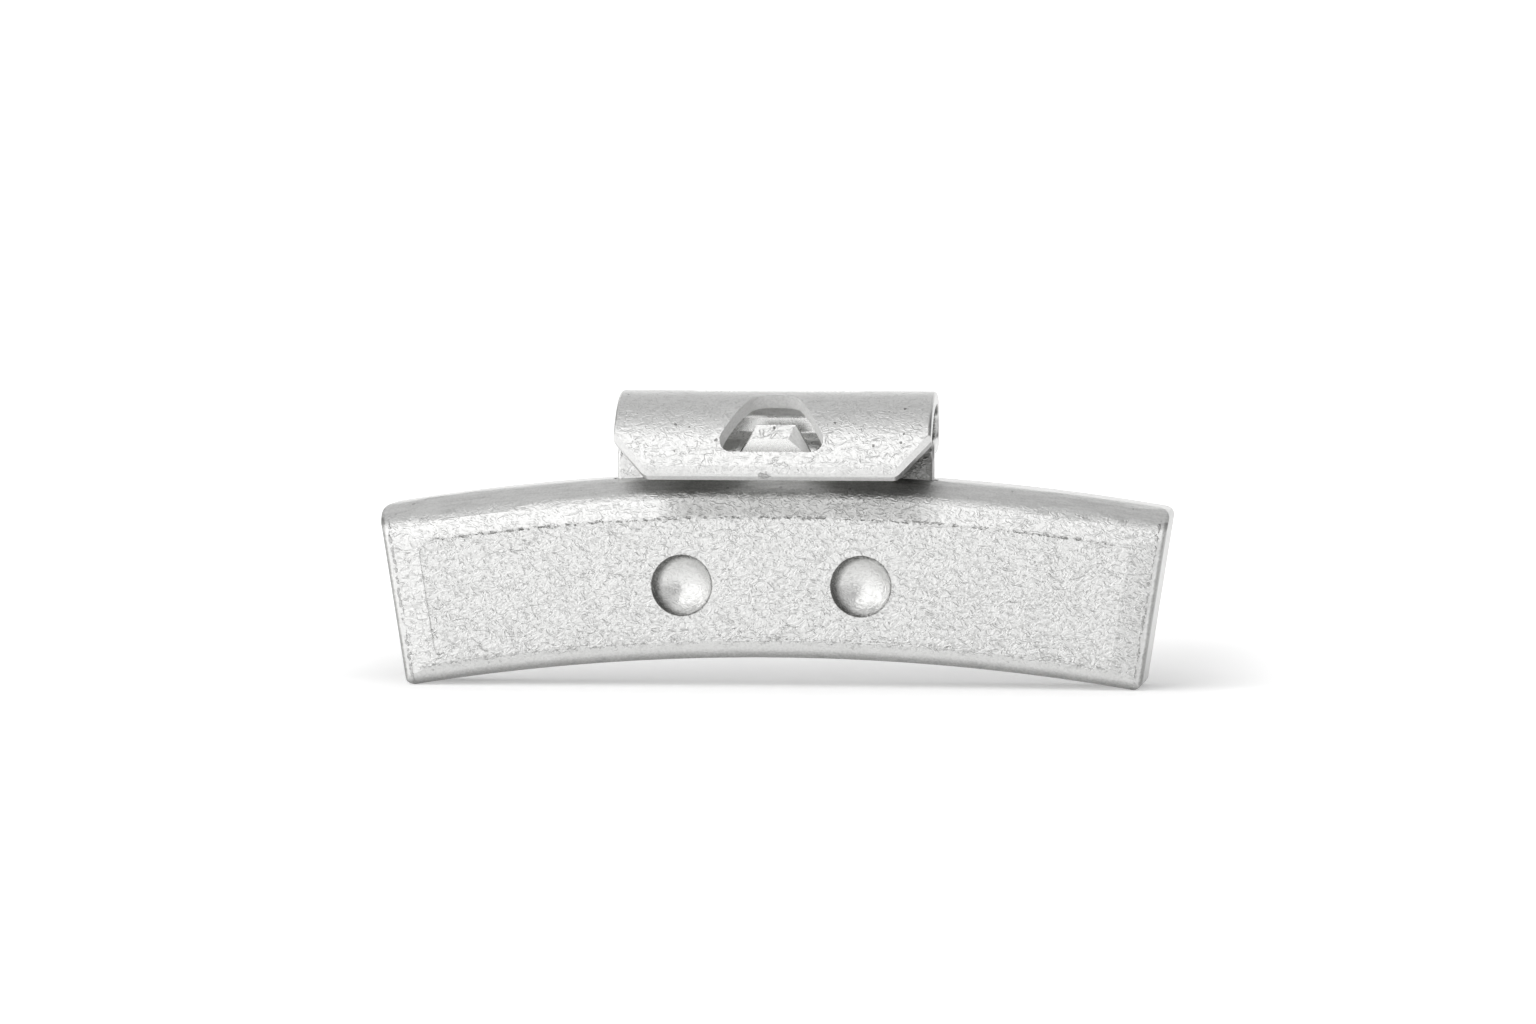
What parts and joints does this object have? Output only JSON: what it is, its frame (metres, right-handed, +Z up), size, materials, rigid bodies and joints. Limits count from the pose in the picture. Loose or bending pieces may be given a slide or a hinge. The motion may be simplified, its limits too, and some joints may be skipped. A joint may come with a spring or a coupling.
{
  "type": "wheel balance weight",
  "caption": "Clip-on balance weight: a curved silver-coated bar with punch marks, staked to a folded spring clip that hooks over a wheel rim's edge",
  "frame": {"origin": "midway along the bar and through the whole depth, from the flap's lip to the bar's back, on the surface that the lower corners of the bar's ends stand on", "axes": "+X along the bar, -Y out of the face with the punch marks and the clip's flap, +Z up towards the hook"},
  "size_m": [0.062, 0.0086, 0.0231],
  "materials": {
    "bar_coat": "satin silver coat on steel, finely grained, with drag marks and worn edges",
    "clip_coat": "satin silver coat on spring steel, smooth on its cut edges"
  },
  "bodies": {
    "root": {"weight_body": "bar_coat", "spring_clip": "clip_coat"}
  },
  "joints": []
}
